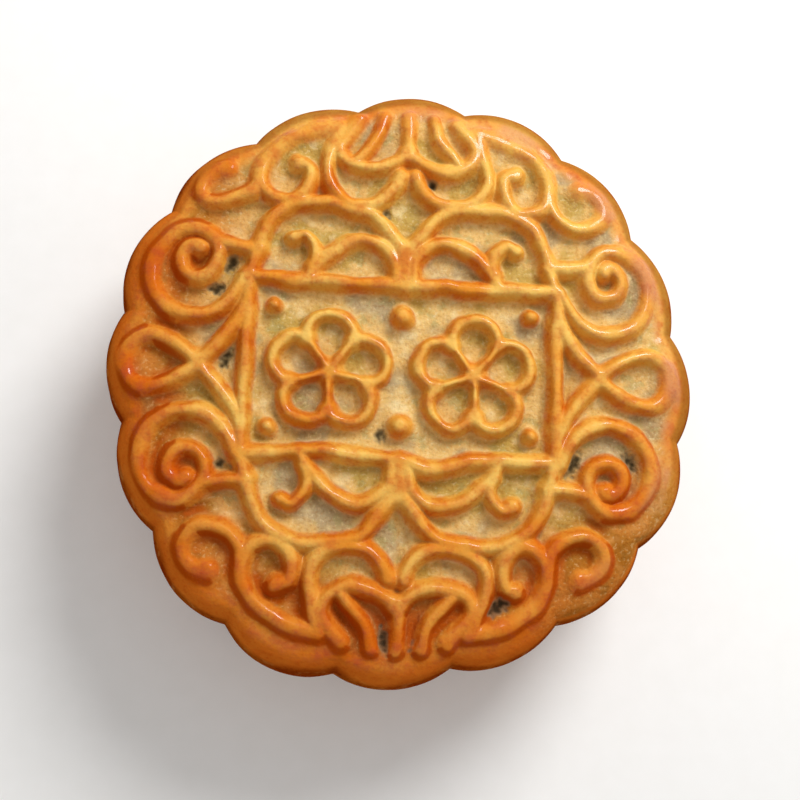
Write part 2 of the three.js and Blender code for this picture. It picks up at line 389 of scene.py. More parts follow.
@dataclass(frozen=True)
class Ornament:
    """The ridges on the top, drawn for one quarter and mirrored, then moved as baking moved them."""

    ridge_width: float = 2.8
    curl_width: float = 2.4
    web_width: float = 3.4  # where the two leaves meet
    knob_share: float = 1.1  # width of a round end over its ridge's
    frame_x: float = 18.7
    frame_y: float = 10.5
    bud_at: Pair = (0.0, 6.6)  # between the blossoms
    bud_width: float = 3.4
    corner_bud_at: Pair = (15.6, 7.3)
    corner_bud_width: float = 2.6
    blossom_x: float = 8.7
    blossom_y: float = -0.4
    petals: int = 5
    petal_radius: float = 7.0
    notch_radius: float = 4.8
    petal_width: float = 2.3
    notch_width: float = 3.1
    spoke_width: float = 1.7
    boss_width: float = 4.4
    off_centre: Pair = (-0.47, 0.17)
    pushes: tuple[Push, ...] = (
        Push((-21, 14.5), (0, 0.8), 6),
        Push((4, -10.5), (0, -1.2), 3.2),
        Push((-9.5, -10.5), (0, 0.6), 4.5),
        Push((10, -25), (0.8, 0), 4),
        Push((-21, 20.5), (-1.5, 1), 3.6),
        Push((-1.5, -30.5), (0.6, 0), 3.5),
        Push((-6, 20.5), (0, -0.5), 3),
    )

    def quarter(self) -> list[Stroke]:
        """Draw the quarter with x > 0 and y > 0.

        Returns:
            Its strokes, before the ornament settled.
        """
        ridge, curl = self.ridge_width, self.curl_width
        knob, curl_knob = self.knob_share * ridge, self.knob_share * curl
        big = scroll(((26.3, 11.2), (25.1, 13.0)), (7.1, 0.65), (186, 850), 0.71, 1.06)
        small = through((8.6, 30.8), (11.6, 30.1), (14.5, 28.8), (16.7, 26.9), (17.8, 24.4),
                        (17.4, 22.1), (15.9, 20.6), (14.0, 20.5), (12.5, 21.8), (12.0, 23.7),
                        (12.4, 25.1), (13.6, 25.5))
        outer = scroll(((22.3, 22.9), (21.1, 21.8)), (4.56, 2.6), (185, 434), 1.0, 0.93)
        arch = through((-0.3, 13.4), (1.0, 15.6), (4.6, 19.7), (8.2, 20.5), (12.0, 20.4), (15.0, 19.1),
                       (16.9, 16.5), (18.6, 10.8))
        leaf = through((0.9, 11.2), (1.3, 13.7), (2.8, 15.4), (4.9, 16.0), (7.4, 15.4), (11.2, 12.3))
        hook = through((11.6, 10.8), (10.9, 12.8), (11.0, 14.8), (12.4, 16.2), (13.6, 15.7))
        wave = through((8.7, 30.4), (9.9, 25.2), (9.6, 22.9), (8.0, 21.3), (5.6, 20.8), (3.4, 21.2),
                       (1.8, 22.6), (0.9, 24.4))
        fan = through((-0.3, 27.7), (1.8, 26.2), (4.0, 25.4), (6.2, 25.5), (8.0, 26.6), (8.6, 28.3),
                      (6.2, 31.8))
        return [
            Stroke(arch, ridge),
            Stroke(leaf, ridge),
            Stroke(hook, curl, curl_knob),
            Stroke(through((17.6, 13.6), (20.2, 13.6), (22.6, 14.1)), ridge),
            Stroke(big, ridge, knob),
            Stroke(through((18.9, 6.9), (20.0, 4.9), (21.9, 2.5), (24.3, -0.4)), ridge),
            Stroke(teardrop(24.0, 32.9, 3.15), ridge),
            Stroke(outer, ridge, knob),
            Stroke(small, ridge, knob),
            Stroke(wave, ridge, knob),
            Stroke(fan, ridge),
            Stroke(through((6.3, 26.4), (4.8, 28.1), (3.7, 30.0), (3.1, 32.3)), curl),
            Stroke(np.array([self.bud_at]), 0, self.bud_width),
            Stroke(np.array([self.corner_bud_at]), 0, self.corner_bud_width),
        ]

    def middle(self) -> list[Stroke]:
        """Draw what lies on the Y axis in the upper half.

        Returns:
            Its strokes, before the ornament settled.
        """
        return [
            Stroke(through((0, 10.5), (0, 15.0)), self.web_width),
            Stroke(through((0, 27.0), (0, 32.6)), self.curl_width),
        ]

    def frame(self) -> list[Stroke]:
        """Draw the frame.

        Returns:
            Its four sides, each with points close enough to be pushed aside.
        """
        x, y, points = self.frame_x, self.frame_y, 40
        corners = np.array([(x, y), (-x, y), (-x, -y), (x, -y)])
        sides = zip(corners, np.roll(corners, -1, axis=0))
        return [Stroke(np.linspace(start, end, points), self.ridge_width) for start, end in sides]

    def blossom(self, middle: Pair) -> Iterator[Stroke]:
        """Draw one five-petalled blossom.

        Args:
            middle: where its boss is.

        Yields:
            Its boss, and for each petal the edge, the notch and the line from the boss.
        """
        yield Stroke(np.array([middle]), 0, self.boss_width)
        upright = math.pi / 2
        edge_points, spoke_points = 24, 12
        for petal in range(self.petals):
            turn = 2 * math.pi * (petal + np.linspace(-0.5, 0.5, edge_points)) / self.petals
            radius = scallop_radius(turn, self.petals, self.petal_radius, self.notch_radius)
            edge = np.column_stack([np.cos(upright + turn), np.sin(upright + turn)]) * radius[:, None]
            notch = np.array(middle) + edge[-1]
            yield Stroke(np.array(middle) + edge, self.petal_width, self.notch_width)
            yield Stroke(np.linspace(middle, notch, spoke_points), self.spoke_width)

    def settle(self, path: np.ndarray) -> np.ndarray:
        """Move points as baking moved the ornament.

        Args:
            path: the points as they were pressed, mm.

        Returns:
            The points in the body's own coordinates.
        """
        moved = path + np.array(self.off_centre)
        for push in self.pushes:
            share = np.exp(-((path - np.array(push.at)) ** 2).sum(axis=1) / push.reach**2)
            moved = moved + np.outer(share, push.by)
        return moved

    def strokes(self) -> list[Stroke]:
        """Draw the whole ornament.

        Returns:
            Every stroke, settled, in the body's own coordinates.
        """
        drawn = self.frame()
        for side in (1, -1):
            drawn += self.blossom((side * self.blossom_x, self.blossom_y))
        drawn += [
            Stroke(stroke.path * (sx, sy), stroke.width, stroke.knob)
            for stroke in self.quarter()
            for sx in (1, -1)
            for sy in (1, -1)
        ]
        drawn += [
            Stroke(stroke.path * (1, sy), stroke.width, stroke.knob)
            for stroke in self.middle()
            for sy in (1, -1)
        ]
        return [Stroke(self.settle(s.path), s.width, s.knob) for s in drawn]


# ---------------------------------------------------------------- the field of heights and its maps


@dataclass(frozen=True)
class Spot:
    """A place where the crust is broken and dark filling shows, painted dark also as the shade of a deep
    pit.
    """

    at: Pair
    length: float
    width: float
    turn: float = 0.0  # degrees, from +X


SPOTS = (
    Spot((-21.7, 12.7), 2.6, 1.2, 60),
    Spot((-23.3, 9.5), 2.0, 1.2, 0),
    Spot((-23.0, 6.6), 3.4, 1.4, 10),
    Spot((-21.7, 1.4), 3.2, 1.1, 80),
    Spot((-21.8, -11.6), 1.3, 1.0, 0),
    Spot((-19.9, -12.1), 1.1, 0.8, 0),
    Spot((-25.1, -12.7), 0.9, 0.8, 0),
    Spot((-14.6, -28.0), 1.1, 0.8, 20),
    Spot((-11.6, -22.5), 1.2, 0.8, 70),
    Spot((-1.8, -31.3), 2.6, 0.9, 100),
    Spot((-0.6, -25.4), 1.3, 1.1, 0),
    Spot((1.8, -31.8), 1.8, 0.8, 70),
    Spot((11.4, -27.1), 3.0, 1.5, 30),
    Spot((20.3, -10.2), 2.8, 1.5, 60),
    Spot((27.2, -10.0), 2.2, 1.6, 100),
    Spot((24.6, -14.2), 2.0, 1.0, 20),
    Spot((-3.3, 20.0), 1.4, 0.9, 120),
    Spot((-0.3, 26.4), 1.2, 1.1, 0),
    Spot((2.5, 24.1), 1.4, 0.9, 60),
    Spot((-3.0, -7.5), 1.5, 1.1, 90),
)


@dataclass(frozen=True)
class Baking:
    """Where the brush and the oven left their marks, and where light and shade are painted.

    Sides are angles from +Y towards +X. A pair says where something starts and where it is full: a
    spread in cosines of the angle from a side, a reach in millimetres from the middle, and an inset in
    millimetres from the outline.
    """

    brushed_share: Pair = (0.12, 0.48)  # of the ridges' height, wetted by the brush
    brushed_inset: Pair = (4.8, 3.0)  # of the rim, wetted too
    unwashed: Pair = (27.0, -23.0)  # where the brush missed the rim
    unwashed_reach: Pair = (6.0, 15.0)  # mm from there
    shade_angle: float = math.radians(215)  # the side away from the key light, where shade is painted darker and redder
    shade_spread: Pair = (-0.8, 0.3)
    shade_reach: Pair = (14.0, 36.0)
    lit_angle: float = math.radians(70)  # towards the key light, where a pinkish sheen is painted on the rim
    lit_spread: Pair = (0.0, 0.7)
    crown_spread: Pair = (-0.6, 0.8)  # the painted sheen is strongest on the crowns of the lobes, where this cosine is 1
    crown_waver: Unevenness = Unevenness(71, 5, 0.7)
    cusp_pale: float = 0.35  # how much painted sheen the rim has between them
    fair_side: float = math.radians(45)  # towards the key light, where the ridges are painted paler
    fair_spread: Pair = (0.6, 0.95)
    fair_reach: Pair = (14.0, 28.0)
    fair_inset: Pair = (3.0, 6.0)
    rim_reach: Pair = (17.0, 34.0)  # browner towards the rim
    rim_unshaded: float = 0.5  # how much of it there is away from the side painted in shade
    wall_reach: Pair = (22.0, 30.0)  # redder where a flank faces outwards near the rim: browning, and painted shade
    wall_inset: Pair = (1.6, 2.8)
    wall_unshaded: float = 0.25  # how much of it there is away from the side painted in shade
    wall_groove: float = 0.7  # and in grooves, where a flank has 1
    wall_dries: float = 0.9  # how much of its shine the wash loses there
    shoulder_inset: Pair = (3.2, 2.0)  # edge of the top, browned and painted darker as shade where it turns down
    plateau_inset: Pair = (5.0, 3.6)  # flat part of the rim, from the field outwards
    plateau_end: Pair = (2.2, 3.0)  # and from the edge inwards


@dataclass
class TopRelief:
    """The heights of the top on a square grid, and the maps that the crust's material reads."""

    MAPS: ClassVar[tuple[str, ...]] = (
        "washed", "gloss", "flank", "hollow", "rim", "pale", "fair", "shaded_side", "outer", "shoulder", "baked",
        "filling",
    )
    OF_TOP: ClassVar[tuple[str, ...]] = (  # these end where the side begins
        "gloss", "flank", "hollow", "pale", "outer", "filling",
    )
    body: CakeBody = field(default_factory=CakeBody)
    ornament: Ornament = field(default_factory=Ornament)
    baking: Baking = field(default_factory=Baking)
    cell: float = 0.1  # mm
    reach: float = 38.6  # mm, of the grid to each side
    section_power: float = 2.6  # 2 is a round hump; more gives a flatter crest and steeper flanks
    section_share: float = 0.41  # width of the section's curve over the width at the field
    section_end: float = 2.6  # the section is nothing beyond this many widths of its curve
    blend: float = 0.16  # how softly two ridges run into each other
    strays: tuple[tuple[Unevenness, ...], ...] = (  # of the ridges from their lines, along X and Y
        (Unevenness(51, 5, 0.13), Unevenness(52, 1.6, 0.03)),
        (Unevenness(61, 5, 0.13), Unevenness(62, 1.6, 0.03)),
    )
    swelling: Unevenness = Unevenness(11, 7, 0.07)  # of the ridges' width
    sag: float = 1.6  # mm, of the crests at the rim
    sag_from: float = 24.0  # mm from the middle
    slump: Unevenness = Unevenness(23, 11)  # where crests sank in baking
    slump_depth: float = 0.12  # mm
    lumps: tuple[Unevenness, ...] = (Unevenness(5, 6, 0.10), Unevenness(7, 1.6, 0.035))  # of the field
    lumps_inset: Pair = (1.5, 4.0)  # where they start and are full
    dent: float = 0.45  # mm deep where the crust is broken
    dent_edge: Pair = (1.5, 0.6)  # where a broken place starts and is full, over its half length
    dent_share: Pair = (0.5, 0.15)  # of the ridges' height, where it starts and is full
    dent_blur: float = 0.12  # mm
    ragged: Unevenness = Unevenness(31, 0.8, 0.42)  # edge of a broken place
    crumbs: Unevenness = Unevenness(33, 0.6, 0.24)  # that lie in it
    uncovered: float = 0.88  # share of the filling that crumbs leave open
    close: float = 0.7  # mm, how far round a place its close surroundings go
    wide: float = 2.2  # mm, and its wide ones
    groove_depth: float = 0.35  # mm below the close ones
    hollow_depths: Pair = (0.8, 1.4)  # mm below the close and the wide ones
    hollow_parts: Pair = (0.7, 0.3)  # what each adds to a hollow
    steep: float = 2.4  # slope of a full flank
    flank_share: Pair = (0.05, 0.3)  # of the ridges' height, where flanks start and are full
    downhill: Pair = (0.0, 0.4)  # slope outwards, where a flank starts to face outwards and does

    def __post_init__(self) -> None:
        """Make the grid and the maps."""
        steps = np.arange(-self.reach, self.reach + self.cell / 2, self.cell)
        self.x, self.y = np.meshgrid(steps, steps, indexing="ij")
        self.dx, self.dy = self.x - self.body.axis[0], self.y - self.body.axis[1]
        self.radius = np.maximum(np.hypot(self.dx, self.dy), 1e-6)  # not 0, because it divides
        self.warped = tuple(
            line + sum(stray.at(self.x, self.y) for stray in strays)
            for line, strays in zip((self.x, self.y), self.strays)
        )
        self.inset = self.body.inset_at(self.x, self.y)
        self.share = self.ridge_share()
        self.broken = self.spot_map()
        self.height = self.heights()
        self.slope = np.gradient(self.height, self.cell)
        self.maps = self.surface_maps()

    def cells(self, low: np.ndarray, high: np.ndarray, margin: float) -> Iterator[tuple[int, int]]:
        """Find the cells of a box.

        Args:
            low: its lowest corner, mm.
            high: its highest corner, mm.
            margin: how far round it to go, mm.

        Returns:
            The first and the last cell along each axis.
        """
        first = np.floor((low - margin + self.reach) / self.cell).astype(int)
        last = np.ceil((high + margin + self.reach) / self.cell).astype(int)
        return zip(first, last)

    def ridge_share(self) -> np.ndarray:
        """Lay every stroke's section on the grid.

        Returns:
            0 on the field to 1 on the crests.
        """
        near = np.zeros(self.x.shape)
        for stroke in self.ornament.strokes():
            path = stroke.path + self.body.axis
            pieces: list[tuple[np.ndarray, float]] = []
            if stroke.width:
                pieces.append((path, stroke.width * self.section_share))
            if stroke.knob:
                pieces.append((path[-1:], stroke.knob * self.section_share))
            for points, scale in pieces:
                far = self.section_end * scale
                box = self.cells(points.min(axis=0), points.max(axis=0), far)
                window = tuple(slice(max(first, 0), last + 1) for first, last in box)
                distance = np.full(self.x[window].shape, far)
                ends = points[1:] if len(points) > 1 else points
                for start, end in zip(points, ends):
                    self.stamp(distance, window, start, end, far)
                near[window] += np.exp(-distance / scale / self.blend)
        with np.errstate(divide="ignore"):
            apart = -self.blend * np.log(near)
        width_change = 1 + self.swelling.at(self.x, self.y)
        return np.exp(-(np.clip(apart, 0, self.section_end) * width_change) ** self.section_power)

    def stamp(self, distance: np.ndarray, window: tuple[slice, ...], start: np.ndarray, end: np.ndarray,
              far: float) -> None:
        """Lower a window of distances to the distance from one short piece of a stroke.

        Args:
            distance: the window's distances, changed in place.
            window: where the window is on the grid.
            start: the piece's first point.
            end: its last point.
            far: how far from the piece to look.
        """
        box = self.cells(np.minimum(start, end), np.maximum(start, end), far)
        inner = tuple(
            slice(max(first - whole.start, 0), last + 1 - whole.start)
            for (first, last), whole in zip(box, window)
        )
        x, y = (values[window][inner] for values in self.warped)
        along = end - start
        squared = max(float(along @ along), 1e-9)  # not 0 where the piece is a point
        t = np.clip(((x - start[0]) * along[0] + (y - start[1]) * along[1]) / squared, 0, 1)
        away = np.hypot(x - start[0] - t * along[0], y - start[1] - t * along[1])
        distance[inner] = np.minimum(distance[inner], away)

    def heights(self) -> np.ndarray:
        """Stand the ridges on the field, and make both uneven.

        Returns:
            The height of the top in each cell, mm.
        """
        body = self.body
        outwards = np.clip((self.radius - self.sag_from) / (body.cusp_radius - self.sag_from), 0, None)
        crest = body.height - self.sag * outwards**2
        crest -= self.slump_depth * (1 + self.slump.at(self.x, self.y)).clip(0)
        uneven = sum(lumps.at(self.x, self.y) for lumps in self.lumps)
        inside = smooth_step(*self.lumps_inset, self.inset)
        floor = body.floor(self.inset) + inside * (uneven - self.dent * self.broken)
        return floor + np.clip(crest - floor, 0, None) * self.share

    def spot_map(self) -> np.ndarray:
        """Mark where filling shows, which is also where shade is painted into deep pits.

        Returns:
            1 in the middle of a spot, falling raggedly to 0.
        """
        total = np.zeros(self.x.shape)
        ragged = self.ragged.at(self.x, self.y)
        crumbs = np.clip(self.uncovered + self.crumbs.at(self.x, self.y), 0, 1)
        for spot in SPOTS:
            turn = math.radians(spot.turn)
            dx, dy = self.x - spot.at[0], self.y - spot.at[1]
            along = (dx * math.cos(turn) + dy * math.sin(turn)) / (spot.length / 2)
            across = (dy * math.cos(turn) - dx * math.sin(turn)) / (spot.width / 2)
            total = np.maximum(total, smooth_step(*self.dent_edge, np.hypot(along, across) + ragged))
        total = total * crumbs * smooth_step(*self.dent_share, self.share)
        return blurred(total, self.dent_blur / self.cell)

    def towards(self, side: float) -> np.ndarray:
        """Give the cosine of each cell's angle from a side, as seen from the middle."""
        return (self.dx * math.sin(side) + self.dy * math.cos(side)) / self.radius

    def surface_maps(self) -> dict[str, np.ndarray]:
        """Make the maps of the crust.

        Returns:
            By name, a value from 0 to 1 in each cell.
            washed: egg wash lies there; gloss: and it dried shiny.
            flank: steep side of a ridge, where browning and painted shade go; hollow: lower than what is
                round it, where shade is painted.
            rim: near the rim, most on the side away from the key light; hot: near the rim on that side,
                where shade is painted.
            pale: the crowns of the rim towards the key light, where a sheen is painted; fair: ridges
                towards the key light, painted paler.
            outer: flanks and grooves that face outwards near the rim, browned and painted shade.
            shoulder: edge of the top, browned and painted shade; baked: the same on the side away from
                the key light.
            filling: broken crust, and painted shade in deep pits.
        """
        baking, inset, radius = self.baking, self.inset, self.radius
        below_close = blurred(self.height, self.close / self.cell) - self.height
        below_wide = blurred(self.height, self.wide / self.cell) - self.height
        downhill_out = -(self.slope[0] * self.dx + self.slope[1] * self.dy) / radius

        # the side away from the key light, where shade is painted into the colour
        shaded_side = smooth_step(*baking.shade_spread, self.towards(baking.shade_angle))
        key_lit = smooth_step(*baking.lit_spread, self.towards(baking.lit_angle))
        fair = smooth_step(*baking.fair_spread, self.towards(baking.fair_side))

        missed = np.hypot(self.x - baking.unwashed[0], self.y - baking.unwashed[1])
        band = smooth_step(*baking.brushed_inset, inset) * smooth_step(*baking.unwashed_reach, missed)
        washed = np.maximum(smooth_step(*baking.brushed_share, self.share), band)

        groove = np.clip(below_close / self.groove_depth, 0, 1)
        # outward flanks and grooves near the rim, browned and painted in shade
        foot = 4 * self.share * (1 - self.share) * smooth_step(*self.downhill, downhill_out)
        near_wall = smooth_step(*baking.wall_reach, radius) * smooth_step(*baking.wall_inset, inset)
        faces_wall = np.maximum(foot, baking.wall_groove * groove)
        outer = faces_wall * (near_wall * at_least(baking.wall_unshaded, shaded_side))

        # edge of the top, where browning and painted shade go
        shoulder = smooth_step(*baking.shoulder_inset, inset)
        lobes = np.cos(self.body.lobes * np.arctan2(self.dy, self.dx))
        crown = smooth_step(*baking.crown_spread, lobes + baking.crown_waver.at(self.x, self.y))
        plateau = smooth_step(*baking.plateau_inset, inset) * smooth_step(*baking.plateau_end, inset)
        steep = np.clip(np.hypot(*self.slope) / self.steep, 0, 1)
        fair_zone = smooth_step(*baking.fair_reach, radius) * smooth_step(*baking.fair_inset, inset)
        # low places, where shade is painted into the colour
        hollow = sum(
            np.clip(below / depth, 0, 1) * part
            for below, depth, part in zip(
                (below_close, below_wide), self.hollow_depths, self.hollow_parts
            )
        )
        return {
            # painted sheen on the crowns of the rim towards the key light
            "pale": plateau * key_lit * at_least(baking.cusp_pale, crown),
            # ridges painted paler towards the key light
            "fair": fair_zone * fair,
            "washed": washed,
            "gloss": np.clip(washed - shoulder - baking.wall_dries * outer, 0, 1),
            # steep flanks, browned and painted in shade
            "flank": steep * smooth_step(*self.flank_share, self.share),
            "hollow": hollow,
            # browner towards the rim, most on the side away from the key light, where shade is painted
            "rim": smooth_step(*baking.rim_reach, radius) * at_least(baking.rim_unshaded, shaded_side),
            "shaded_side": smooth_step(*baking.shade_reach, radius) * shaded_side,
            "outer": outer,
            "shoulder": shoulder,
            # the shoulder on the side away from the key light, where shade is painted
            "baked": shoulder * shaded_side,
            # broken crust, and painted shade in deep pits
            "filling": self.broken,
        }

    def sample(self, values: np.ndarray, x: np.ndarray, y: np.ndarray) -> np.ndarray:
        """Read a map between its cells.

        Args:
            values: the map.
            x: the points' x, mm.
            y: the points' y, mm.

        Returns:
            The map's value at each point.
        """
        last = values.shape[0] - 1.001  # just before the last row, so that a next one is there
        u = np.clip((x + self.reach) / self.cell, 0, last)
        v = np.clip((y + self.reach) / self.cell, 0, last)
        i, j = u.astype(int), v.astype(int)
        a, b = u - i, v - j
        low = values[i, j] * (1 - b) + values[i, j + 1] * b
        high = values[i + 1, j] * (1 - b) + values[i + 1, j + 1] * b
        return low * (1 - a) + high * a


# ---------------------------------------------------------------- finishes


def linear(colour: str) -> Rgba:
    """Turn an sRGB hex colour into linear RGBA.

    Args:
        colour: such as "#C8A05A".

    Returns:
        Red, green, blue and alpha.
    """
    parts = [int(colour[k : k + 2], 16) / 255 for k in (1, 3, 5)]
    turned = [c / 12.92 if c <= 0.04045 else ((c + 0.055) / 1.055) ** 2.4 for c in parts]
    return (*turned, 1.0)


def add_node(tree: bpy.types.NodeTree, kind: str, inputs: dict[int | str, object] | None = None,
             **settings: object) -> bpy.types.Node:
    """Add a node.

    Args:
        tree: where it goes.
        kind: its type's name.
        inputs: a socket to link, or a value to set, for each input.
        settings: its own settings.

    Returns:
        The node.
    """
    node = tree.nodes.new(kind)
    for name, value in settings.items():
        setattr(node, name, value)
    for name, value in (inputs or {}).items():
        if isinstance(value, bpy.types.NodeSocket):
            tree.links.new(value, node.inputs[name])
        else:
            node.inputs[name].default_value = value
    return node


class Laid(Enum):
    """How a colour lies on what is below it."""

    OVER = "MIX"  # hides it
    GLAZE = "MULTIPLY"  # tints it, as browned wash does


@dataclass(frozen=True)
class Layer:
    """A colour laid on what is below it, wherever a map of the crust is high."""

    source: str  # the map's name
    low: float  # value at which the colour starts
    high: float  # value at which it is full
    strength: float
    colour: str
    laid: Laid = Laid.OVER


@dataclass(frozen=True)
class EggWashedCrust:
    """Golden syrup pastry, brushed with egg and baked.

    The wash lies on what stands up, which is browned and glossy; its steep flanks are also painted
    darker, as shade. The recesses got little of it and stay sandy and dull, with shade painted into
    their low places and into the dark pits. Towards the rim the heat made everything more orange, and
    the flanks that face outwards there went red-brown, which is partly painted shade, as is the dark
    shoulder of the rim. On the side away from the key light everything is painted darker and redder, as
    shade; towards it the rim's crowns get a painted pinkish sheen and the ridges are painted paler. The
    side had no wash: it is matt, dark under the rim, partly as painted shade, and at the foot, and
    paler between.
    """

    name: str = "egg_washed_pastry_baked"
    sandy: str = "#D6B270"  # bare dough of the recesses, dull and pale
    golden: str = "#E0B45C"  # thinly washed ridges, clear and yellow
    tanned: str = "#8E440C"  # side of the cake, darkest under the rim, partly as painted shade, and at the foot
    ior: float = 1.45
    dull: float = 0.75  # roughness of the bare dough
    glazed: float = 0.45  # roughness of the crests, under the wash
    coat: Pair = (0.03, 0.60)  # weight of the dried wash, where it is thin and thick
    coat_freckles: Pair = (0.40, 0.62)  # values of the freckles where it is thin and thick
    coat_roughness: float = 0.16  # gives the thin broken lights along the crests
    specular: float = 0.0  # bare dough has no gloss of its own, only the wash has
    translucence: float = 0.10
    glow: float = 0.8  # mm, how far light spreads in the dough
    glow_colour: tuple[float, float, float] = (1.0, 0.5, 0.2)  # red goes furthest
    patch: float = 7.5  # mm, where the wash pooled or ran thin
    freckle: float = 1.8  # mm, uneven browning
    grain: float = 0.45  # mm, crumb of the dough, drawn twice as coarse as it is so that it shows
    detail: float = 3.0  # octaves of all three
    crumb_depth: float = 0.14  # mm
    crumb_strength: Pair = (0.9, 0.4)  # on bare dough, and where the wash filled it
    lump_depth: float = 0.20  # mm
    lump_strength: float = 0.6

    @property
    def recess(self) -> tuple[Layer, ...]:
        """The colours of the recesses, on the sandy dough."""
        return (
            Layer("patch", 0.50, 0.38, 0.75, "#AE9448"),  # olive, where a little wash ran in
            Layer("patch", 0.52, 0.64, 0.70, "#9E9076"),  # grey-lilac, where filling is close below
            Layer("freckle", 0.46, 0.32, 0.55, "#A09662"),  # greyer, where it is damp
            Layer("freckle", 0.54, 0.68, 0.55, "#E4D2A0"),  # cream, where it stayed dry
            Layer("rim", 0.30, 1.00, 0.75, "#E0A850", Laid.GLAZE),  # browned towards the rim, most on the side painted in shade
            Layer("grain", 0.50, 0.72, 0.40, "#C8A468", Laid.GLAZE),  # dark and pale crumbs
            Layer("grain", 0.46, 0.28, 0.35, "#F0DCAC"),
        )

    @property
    def raised(self) -> tuple[Layer, ...]:
        """The colours of the ridges and the rim, on the golden wash."""
        return (
            Layer("patch", 0.34, 0.66, 0.80, "#F4BC5C", Laid.GLAZE),  # thicker wash, orange
            Layer("freckle", 0.38, 0.74, 0.60, "#ECB050", Laid.GLAZE),  # spots of thicker wash
            Layer("rim", 0.20, 0.80, 0.50, "#F6C880", Laid.GLAZE),  # hotter towards the rim, and most orange on the side painted in shade
            Layer("fair", 0.00, 1.00, 0.45, "#E8C468"),  # painted light: ridges paler and yellower towards the key light
            Layer("pale", 0.00, 1.00, 0.75, "#C88E62"),  # painted sheen: pinkish crowns of the rim towards the key light
            Layer("flank", 0.15, 0.85, 0.56, "#ECC424", Laid.GLAZE),  # the wash ran down and browned, and shade is painted on the steep flanks
            Layer("shoulder", 0.00, 1.00, 0.90, "#9C6828"),  # shoulder of the rim: browning, and painted shade where it turns down
            Layer("baked", 0.00, 1.00, 0.90, "#DA8630"),  # a more orange copy of the shoulder for the side away from the key light, painted for its shade
            Layer("patch", 0.36, 0.68, 0.22, "#DC9044", Laid.GLAZE),  # blotches over all that is raised
            Layer("freckle", 0.40, 0.74, 0.24, "#DC9850", Laid.GLAZE),
            Layer("grain", 0.50, 0.72, 0.25, "#E0B468", Laid.GLAZE),
        )

    @property
    def side(self) -> tuple[Layer, ...]:
        """The colours of the side, on the tanned dough."""
        return (
            Layer("waist", 0.00, 1.00, 0.90, "#C8883E"),  # paler where the heat reached least
            Layer("patch", 0.38, 0.64, 0.70, "#D8903C", Laid.GLAZE),  # blotches
            Layer("freckle", 0.46, 0.26, 0.25, "#D09A54"),  # dusty, from the flour in the mould
            Layer("freckle", 0.46, 0.72, 0.55, "#D0904A", Laid.GLAZE),
            Layer("grain", 0.50, 0.70, 0.45, "#B4783C", Laid.GLAZE),  # pores
        )

    @property
    def browning(self) -> tuple[Layer, ...]:
        """The colours on ridges and recesses alike."""
        return (
            Layer("hollow", 0.12, 0.90, 0.56, "#D4A814", Laid.GLAZE),  # wash gathered at the feet, and painted shade in the hollows
            Layer("shaded_side", 0.20, 1.00, 0.60, "#E8A850", Laid.GLAZE),  # painted shade: darker and redder on the side away from the key light
            Layer("outer", 0.25, 0.85, 0.85, "#A23E04"),  # outward flanks and grooves near the rim: browning, and painted shade
            Layer("filling", 0.02, 0.40, 0.60, "#7C7256"),  # grey edge of a crack
            Layer("filling", 0.35, 0.95, 0.88, "#2A2216"),  # dark filling in the crack, and painted shade in the deep pit
        )

    def lay(self, tree: bpy.types.NodeTree, maps: dict[str, bpy.types.NodeSocket],
            base: Rgba | bpy.types.NodeSocket, layers: tuple[Layer, ...]) -> bpy.types.NodeSocket:
        """Lay colours over each other.

        Args:
            tree: the material's nodes.
            maps: the crust's maps by name.
            base: the lowest colour, as linear RGBA or as a socket.
            layers: the colours over it, from the lowest.

        Returns:
            The colour of all of them.
        """
        colour = base
        for layer in layers:
            amount = add_node(
                tree,
                "ShaderNodeMapRange",
                {
                    "Value": maps[layer.source],
                    "From Min": layer.low,
                    "From Max": layer.high,
                    "To Max": layer.strength,
                },
                interpolation_type="SMOOTHSTEP",
            )
            mixed = add_node(
                tree,
                "ShaderNodeMix",
                {MIX_FACTOR: amount.outputs[0], MIX_BELOW: colour, MIX_ABOVE: linear(layer.colour)},
                data_type="RGBA",
                blend_type=layer.laid.value,
            )
            colour = mixed.outputs[MIX_RESULT]
        return colour

    def build(self) -> bpy.types.Material:
        """Make the material.

        Returns:
            The crust, of top and side.
        """
        material = bpy.data.materials.new(self.name)
        material.use_nodes = True
        tree = material.node_tree
        tree.nodes.clear()
        maps = {
            name: add_node(tree, "ShaderNodeAttribute", attribute_name=name).outputs["Fac"]
            for name in (*TopRelief.MAPS, "side", "waist")
        }
        place = add_node(tree, "ShaderNodeTexCoord").outputs["Object"]
        for name, size in (("patch", self.patch), ("freckle", self.freckle), ("grain", self.grain)):
            inputs = {"Vector": place, "Scale": 1 / (size * MM), "Detail": self.detail}
            maps[name] = add_node(tree, "ShaderNodeTexNoise", inputs).outputs["Fac"]

